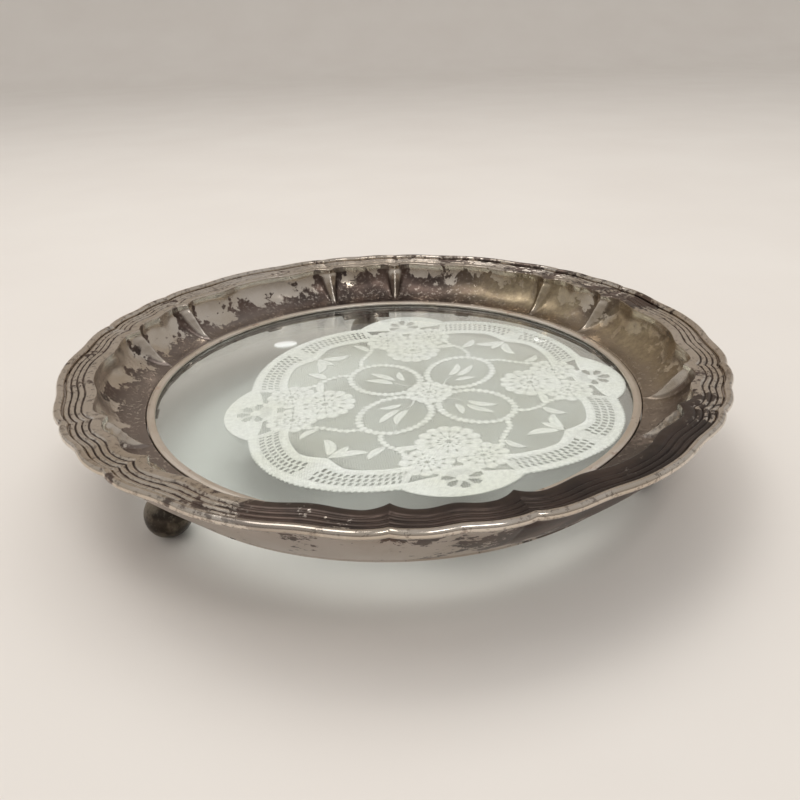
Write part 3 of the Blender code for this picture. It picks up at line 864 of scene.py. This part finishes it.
def build_motifs(material):
    relief = Relief()
    rosette(relief, (0.0, 0.0), 12.2, 12, 0.0, CLOTH_HEIGHT + 0.05)
    for quarter in range(4):
        turn = quarter * 90.0
        end_lobe(relief, turn)
        border_scallop(relief, turn, False)
        border_scallop(relief, turn, True)
        quarter_motifs(relief, turn)
    return add_piece("lace_motifs", place_lace(relief.points), relief.faces, material,
                     closed=False, attributes={"lift": relief.depth})


# ---------------------------------------------------------------- materials

# Azimuths on the rim in radians, counted from the model's own x axis.
NEAR_AZIMUTH = -1.25
LOW_RIGHT_AZIMUTH = -0.35
RIGHT_AZIMUTH = 0.35
REAR_AZIMUTH = 1.25
LEFT_AZIMUTH = 2.5
SKIRT_DARK_AZIMUTH = -1.1

# Colours are linear red, green, blue and alpha.
CLEAN_FADE = (0.84, 0.80, 0.74, 1.0)
TARNISH_FADE = (1.75, 1.6, 1.5, 1.0)
BORDER_CLEAN = (0.69, 0.62, 0.545, 1.0)
BORDER_TARNISH = (0.085, 0.065, 0.057, 1.0)
COVE_BROWN = (0.33, 0.275, 0.245, 1.0)
COVE_BROWN_RIGHT = (0.42, 0.34, 0.265, 1.0)
NEARLY_BLACK = (0.030, 0.023, 0.020, 1.0)
STAIN_LIGHT = (0.52, 0.42, 0.265, 1.0)
STAIN_DEEP = (0.34, 0.27, 0.18, 1.0)
SKIRT_CLEAN = (0.60, 0.53, 0.48, 1.0)
SKIRT_TARNISH = (0.10, 0.078, 0.07, 1.0)
BEZEL_CLEAN = (0.88, 0.80, 0.71, 1.0)
BEZEL_TARNISH = (0.42, 0.33, 0.27, 1.0)
FITTING_CLEAN = (0.36, 0.31, 0.27, 1.0)
FITTING_TARNISH = (0.085, 0.068, 0.06, 1.0)
STEEL_CLEAN = (0.42, 0.41, 0.39, 1.0)
STEEL_TARNISH = (0.12, 0.09, 0.07, 1.0)
BALL_DARK = (0.052, 0.042, 0.034, 1.0)
BALL_CLOUD = (0.26, 0.22, 0.17, 1.0)
BALL_RUBBED = (0.22, 0.20, 0.16, 1.0)
GLASS_TINT = (0.930, 0.965, 0.964, 1.0)
GLASS_SHADOW = (0.974, 0.989, 0.988, 1.0)
NET_FRESH = (0.84, 0.83, 0.76, 1.0)
NET_AGED = (0.76, 0.74, 0.64, 1.0)
CLOTH_FRESH = (0.93, 0.91, 0.86, 1.0)
CLOTH_AGED = (0.87, 0.85, 0.76, 1.0)
NET_MIDDLE = (0.0163, -0.0114, 0.0302)


def scaled(color, factors):
    return tuple(value * factor for value, factor in zip(color, factors))


def silver_nodes(tree, shader, mask, place, clean, dark, clean_roughness, dark_roughness):
    """Base colour and roughness of silver under tarnish, for a mask of 0 clean to 1 dark."""
    cloud = noise(tree, place, 26.0, 4.0, 0.6)
    warm = mix(tree, smooth(tree, cloud, 0.35, 0.7), clean, scaled(clean, CLEAN_FADE))
    shades = smooth(tree, noise(tree, place, 60.0, 5.0, 0.6), 0.35, 0.65)
    tone = mix(tree, shades, dark, scaled(dark, TARNISH_FADE))
    tree.links.new(mix(tree, mask, warm, tone), shader.inputs["Base Color"])
    rough = smooth(tree, mask, 0.0, 1.0, clean_roughness, dark_roughness)
    grain = noise(tree, place, 900.0, 3.0, 0.6)
    rough = plus(tree, rough, smooth(tree, grain, 0.3, 0.8, -0.02, 0.04))
    tree.links.new(rough, shader.inputs["Roughness"])
    shader.inputs["Metallic"].default_value = 1.0


def border_material():
    material, tree, shader = new_material("border_silver_worn")
    place = node(tree, "TexCoord").outputs["Object"]
    split = node(tree, "SeparateXYZ", {0: place})
    fall, groove, crest = (attribute(tree, key) for key in ("fall", "groove", "crest"))
    blot = noise(tree, place, 62.0, 9.0, 0.68, 0.3)
    fine = noise(tree, place, 330.0, 6.0, 0.7)
    azimuth = azimuth_of(tree, split)
    # The clean zone of the cove reaches further down at the back left than at the right.
    lean = math_node(tree, "COSINE", minus(tree, azimuth, LEFT_AZIMUTH))
    bound = math_node(tree, "MULTIPLY_ADD", lean, 0.14)
    bound.node.inputs[2].default_value = 0.40
    rear = facing(tree, azimuth, REAR_AZIMUTH, 0.55, 0.95)
    bound = minus(tree, bound, times(tree, rear, 0.34))
    # Painted shade: beside the darts the dark colour reaches higher up the cove, standing for the
    # shade of the hollow there.
    bound = minus(tree, bound, times(tree, attribute(tree, "niche_shade"), 0.6))
    depth = minus(tree, fall, bound)
    depth = plus(tree, depth, smooth(tree, blot, 0.28, 0.72, -0.5, 0.5))
    depth = plus(tree, depth, wobble(tree, fine, 0.09))
    cove_dark = smooth(tree, depth, -0.03, 0.03)
    fleck = smooth(tree, noise(tree, place, 480.0, 5.0, 0.7), 0.55, 0.61)
    fleck = times(tree, fleck, smooth(tree, fall, 0.3, 1.0, 0.25, 0.85))
    cove_dark = times(tree, cove_dark, inverse(tree, fleck))
    worn = smooth(tree, crest, 0.22, 0.55)
    cove_dark = times(tree, cove_dark, inverse(tree, worn))
    near = facing(tree, azimuth, NEAR_AZIMUTH, 0.48, 0.96)
    right = facing(tree, azimuth, RIGHT_AZIMUTH, 0.2, 0.9)
    patches = plus(tree, blot, wobble(tree, fine, 0.07))
    patches = plus(tree, patches, times(tree, near, 0.31))
    low_right = facing(tree, azimuth, LOW_RIGHT_AZIMUTH, 0.86, 0.98)
    patches = minus(tree, patches, times(tree, low_right, 0.22))
    patches = smooth(tree, plus(tree, patches, times(tree, right, 0.13)), 0.585, 0.645)
    in_groove = smooth(tree, plus(tree, groove, wobble(tree, fine, 0.25)), 0.3, 0.6)
    on_wire = smooth(tree, fall, -1.7, -1.3, 1.0, 0.0)
    patches = times(tree, patches, inverse(tree, times(tree, on_wire, near)))
    speck = smooth(tree, noise(tree, place, 420.0, 4.0, 0.7), 0.54, 0.62, 0.0, 0.55)
    patches = math_node(tree, "MAXIMUM", times(tree, patches, 0.95), speck)
    moulding_dark = math_node(tree, "MAXIMUM", in_groove, patches)
    on_cove = smooth(tree, fall, -0.06, 0.03)
    mask = node(tree, "Mix", {0: on_cove, 2: moulding_dark, 3: cove_dark}).outputs[0]
    silver_nodes(tree, shader, mask, place, BORDER_CLEAN, BORDER_TARNISH, 0.22, 0.36)
    rough = shader.inputs["Roughness"].links[0].from_socket
    rough = times(tree, rough, inverse(tree, times(tree, on_wire, 0.35)))
    tree.links.new(rough, shader.inputs["Roughness"])
    base = shader.inputs["Base Color"].links[0].from_socket
    # Low in the cove, away from the back, the tarnish is a paler purple brown.
    pale = times(tree, smooth(tree, fall, 0.3, 0.85), inverse(tree, times(tree, rear, 0.9)))
    brown = mix(tree, right, COVE_BROWN, COVE_BROWN_RIGHT)
    base = mix(tree, times(tree, times(tree, pale, mask), 0.75), base, brown)
    # Inside the bead the tarnish at the front is nearly black.
    black = times(tree, times(tree, near, moulding_dark), inverse(tree, on_wire))
    base = mix(tree, times(tree, black, 0.55), base, NEARLY_BLACK)
    # A golden stain over the right and back right of the cove.
    stain = facing(tree, azimuth, RIGHT_AZIMUTH, 0.62, 0.95)
    above_foot = smooth(tree, fall, 0.6, 0.95, 1.0, 0.25)
    stain = times(tree, stain, times(tree, on_cove, above_foot))
    uneven = smooth(tree, noise(tree, place, 34.0, 5.0, 0.6), 0.3, 0.6, 0.2, 1.0)
    stain = times(tree, stain, uneven)
    olive = mix(tree, smooth(tree, fine, 0.35, 0.7), STAIN_LIGHT, STAIN_DEEP)
    color = mix(tree, times(tree, stain, 0.75), base, olive)
    tree.links.new(color, shader.inputs["Base Color"])
    height = times(tree, mask, -0.8)
    wavy = bump(tree, noise(tree, place, 70.0, 2.0, 0.5), 0.5, 0.0012)
    tree.links.new(bump(tree, height, 0.15, 0.0001, wavy), shader.inputs["Normal"])
    return material


def skirt_material():
    material, tree, shader = new_material("skirt_silver_pitted")
    place = node(tree, "TexCoord").outputs["Object"]
    split = node(tree, "SeparateXYZ", {0: place})
    azimuth = azimuth_of(tree, split)
    fine = noise(tree, place, 300.0, 6.0, 0.7)
    blot = noise(tree, place, 55.0, 8.0, 0.68)
    pits = smooth(tree, noise(tree, place, 240.0, 4.0, 0.6, 0.4), 0.68, 0.71)
    high = smooth(tree, split.outputs["Z"], 0.036, 0.052)
    side = facing(tree, azimuth, SKIRT_DARK_AZIMUTH, 0.78, 1.0)
    reach = times(tree, side, smooth(tree, split.outputs["Z"], 0.020, 0.040, 0.55, 1.0))
    amount = plus(tree, times(tree, reach, 0.42), times(tree, high, 0.10))
    amount = plus(tree, amount, wobble(tree, blot, 0.25))
    amount = plus(tree, amount, wobble(tree, fine, 0.12))
    dark = smooth(tree, amount, 0.20, 0.25)
    dark = math_node(tree, "MAXIMUM", dark, pits)
    # Painted shade: the dent under each cusp is darkened, drawn in the tarnish colour.
    pinch_shade = plus(tree, attribute(tree, "pinch"), wobble(tree, fine, 0.3))
    dark = math_node(tree, "MAXIMUM", dark, smooth(tree, pinch_shade, 0.35, 0.6))
    silver_nodes(tree, shader, dark, place, SKIRT_CLEAN, SKIRT_TARNISH, 0.40, 0.46)
    wavy = bump(tree, noise(tree, place, 45.0, 2.0, 0.5), 0.35, 0.001)
    height = plus(tree, times(tree, dark, -0.4), noise(tree, place, 1500.0, 2.0, 0.5))
    tree.links.new(bump(tree, height, 0.3, 0.0001, wavy), shader.inputs["Normal"])
    return material


def plain_silver_material(name, clean, dark, roughness, amount, scale=90.0):
    """Metal with scattered tarnish. A larger amount covers more of it."""
    material, tree, shader = new_material(name)
    place = node(tree, "TexCoord").outputs["Object"]
    blot = noise(tree, place, scale, 8.0, 0.66)
    edge = 0.68 - 0.36 * amount
    mask = smooth(tree, blot, edge - 0.03, edge + 0.05)
    silver_nodes(tree, shader, mask, place, clean, dark, roughness, roughness + 0.14)
    grain = noise(tree, place, 1300.0, 2.0, 0.5)
    height = plus(tree, times(tree, mask, -0.4), grain)
    tree.links.new(bump(tree, height, 0.25, 0.0001), shader.inputs["Normal"])
    return material


def ball_material():
    material, tree, shader = new_material("ball_tarnish")
    place = node(tree, "TexCoord").outputs["Object"]
    cloud = smooth(tree, noise(tree, place, 90.0, 6.0, 0.62), 0.42, 0.66)
    rub = smooth(tree, noise(tree, place, 420.0, 5.0, 0.7), 0.55, 0.7)
    tint = mix(tree, cloud, BALL_DARK, BALL_CLOUD)
    rubbed = mix(tree, times(tree, rub, 0.5), tint, BALL_RUBBED)
    tree.links.new(rubbed, shader.inputs["Base Color"])
    shader.inputs["Metallic"].default_value = 1.0
    tree.links.new(smooth(tree, cloud, 0.0, 1.0, 0.28, 0.5), shader.inputs["Roughness"])
    dented = bump(tree, noise(tree, place, 300.0, 5.0, 0.6), 0.35, 0.0004)
    tree.links.new(dented, shader.inputs["Normal"])
    return material


def glass_material():
    material, tree, shader = new_material("glass_clear")
    place = node(tree, "TexCoord").outputs["Object"]
    smear = noise(tree, place, 14.0, 3.0, 0.5)
    shader.inputs["Base Color"].default_value = GLASS_TINT
    shader.inputs["Transmission Weight"].default_value = 1.0
    shader.inputs["IOR"].default_value = 1.5
    tree.links.new(smooth(tree, smear, 0.4, 0.75, 0.0, 0.03), shader.inputs["Roughness"])
    clear = node(tree, "BsdfTransparent", {"Color": GLASS_SHADOW})
    path = node(tree, "LightPath")
    both = node(tree, "MixShader", {0: path.outputs["Is Shadow Ray"], 1: shader.outputs[0],
                                    2: clear.outputs[0]})
    out = next(n for n in tree.nodes if n.type == "OUTPUT_MATERIAL")
    tree.links.new(both.outputs[0], out.inputs["Surface"])
    return material


def net_material():
    material, tree, shader = new_material("lace_net_tulle")
    place = node(tree, "TexCoord").outputs["Object"]
    cells = node(tree, "TexVoronoi", {"Vector": place, "Scale": 900.0, "Randomness": 0.45},
                 feature="DISTANCE_TO_EDGE", voronoi_dimensions="2D")
    thread = smooth(tree, cells.outputs["Distance"], 0.07, 0.18, 1.0, 0.0)
    # The net is thinner behind the border, so the border's holes show more of the glass.
    away = node(tree, "VectorMath", {0: place, 1: NET_MIDDLE}, operation="DISTANCE")
    behind = smooth(tree, away.outputs["Value"], 0.077, 0.083, 1.0, 0.5)
    thread = times(tree, thread, behind)
    age = smooth(tree, noise(tree, place, 30.0, 4.0, 0.6), 0.35, 0.7)
    tree.links.new(mix(tree, age, NET_FRESH, NET_AGED), shader.inputs["Base Color"])
    shader.inputs["Roughness"].default_value = 0.9
    shader.inputs["Specular IOR Level"].default_value = 0.2
    tree.links.new(thread, shader.inputs["Alpha"])
    return material


def cloth_material():
    material, tree, shader = new_material("lace_cloth")
    place = node(tree, "TexCoord").outputs["Object"]
    waves = {"Vector": place, "Scale": 480.0, "Distortion": 0.6, "Detail": 1.0}
    weave_x, weave_y = (node(tree, "TexWave", waves, bands_direction=axis) for axis in "XY")
    weave = times(tree, weave_x.outputs["Fac"], weave_y.outputs["Fac"])
    age = smooth(tree, noise(tree, place, 26.0, 5.0, 0.6), 0.35, 0.7)
    tint = mix(tree, age, CLOTH_FRESH, CLOTH_AGED)
    # Painted shade: the low parts of the lace relief, at the edges of the tapes and round the raised
    # rings, are darkened by up to about a quarter.
    low = smooth(tree, attribute(tree, "lift"), 0.0, 0.8, 0.72, 1.0)
    knit = smooth(tree, noise(tree, place, 520.0, 3.0, 0.6), 0.36, 0.6, 0.90, 1.0)
    shade = times(tree, low, times(tree, knit, smooth(tree, weave, 0.0, 1.0, 0.9, 1.0)))
    grey = node(tree, "CombineColor", {0: shade, 1: shade, 2: shade}).outputs[0]
    shaded = node(tree, "Mix", {0: 1.0, 6: tint, 7: grey}, data_type="RGBA", blend_type="MULTIPLY")
    tree.links.new(shaded.outputs[2], shader.inputs["Base Color"])
    shader.inputs["Roughness"].default_value = 0.88
    shader.inputs["Specular IOR Level"].default_value = 0.2
    shader.inputs["Sheen Weight"].default_value = 0.2
    tree.links.new(bump(tree, weave, 0.4, 0.0002), shader.inputs["Normal"])
    return material


def paint_node(name, material):
    """Gives a carried-over CAD node a procedural material."""
    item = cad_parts[name]
    item.data.materials.clear()
    item.data.materials.append(material)


def dress_fittings():
    fitting = plain_silver_material("fitting_silver_dull", FITTING_CLEAN, FITTING_TARNISH, 0.42, 0.7)
    steel = plain_silver_material("screw_steel", STEEL_CLEAN, STEEL_TARNISH, 0.38, 0.45, 400.0)
    names = ["glass_collar", "retaining_wire"] + [f"glass_tab_{i + 1}" for i in range(6)]
    for name in names + [f"foot_bracket_{side}" for side in SIDES]:
        paint_node(name, fitting)
    for side in SIDES:
        paint_node(f"foot_screw_{side}", steel)
        paint_node(f"foot_washer_{side}", steel)


SIDES = ("back", "left", "right")

make_camera()
make_studio()
make_floor()
border = border_material()
build_border(border)
build_edge_wire(border)
build_skirt(skirt_material())
build_bezel(plain_silver_material("bezel_silver_polished", BEZEL_CLEAN, BEZEL_TARNISH, 0.44, 0.2))
glass = glass_material()
build_pane("glass_upper_pane", "glass_upper", UPPER_PANE_BASE, glass)
build_pane("glass_lower_pane", "glass_lower", LOWER_PANE_BASE, glass)
balls = ball_material()
for side in SIDES:
    build_ball(side, balls)
net, net_area = build_net(net_material())
motifs = build_motifs(cloth_material())
dress_fittings()
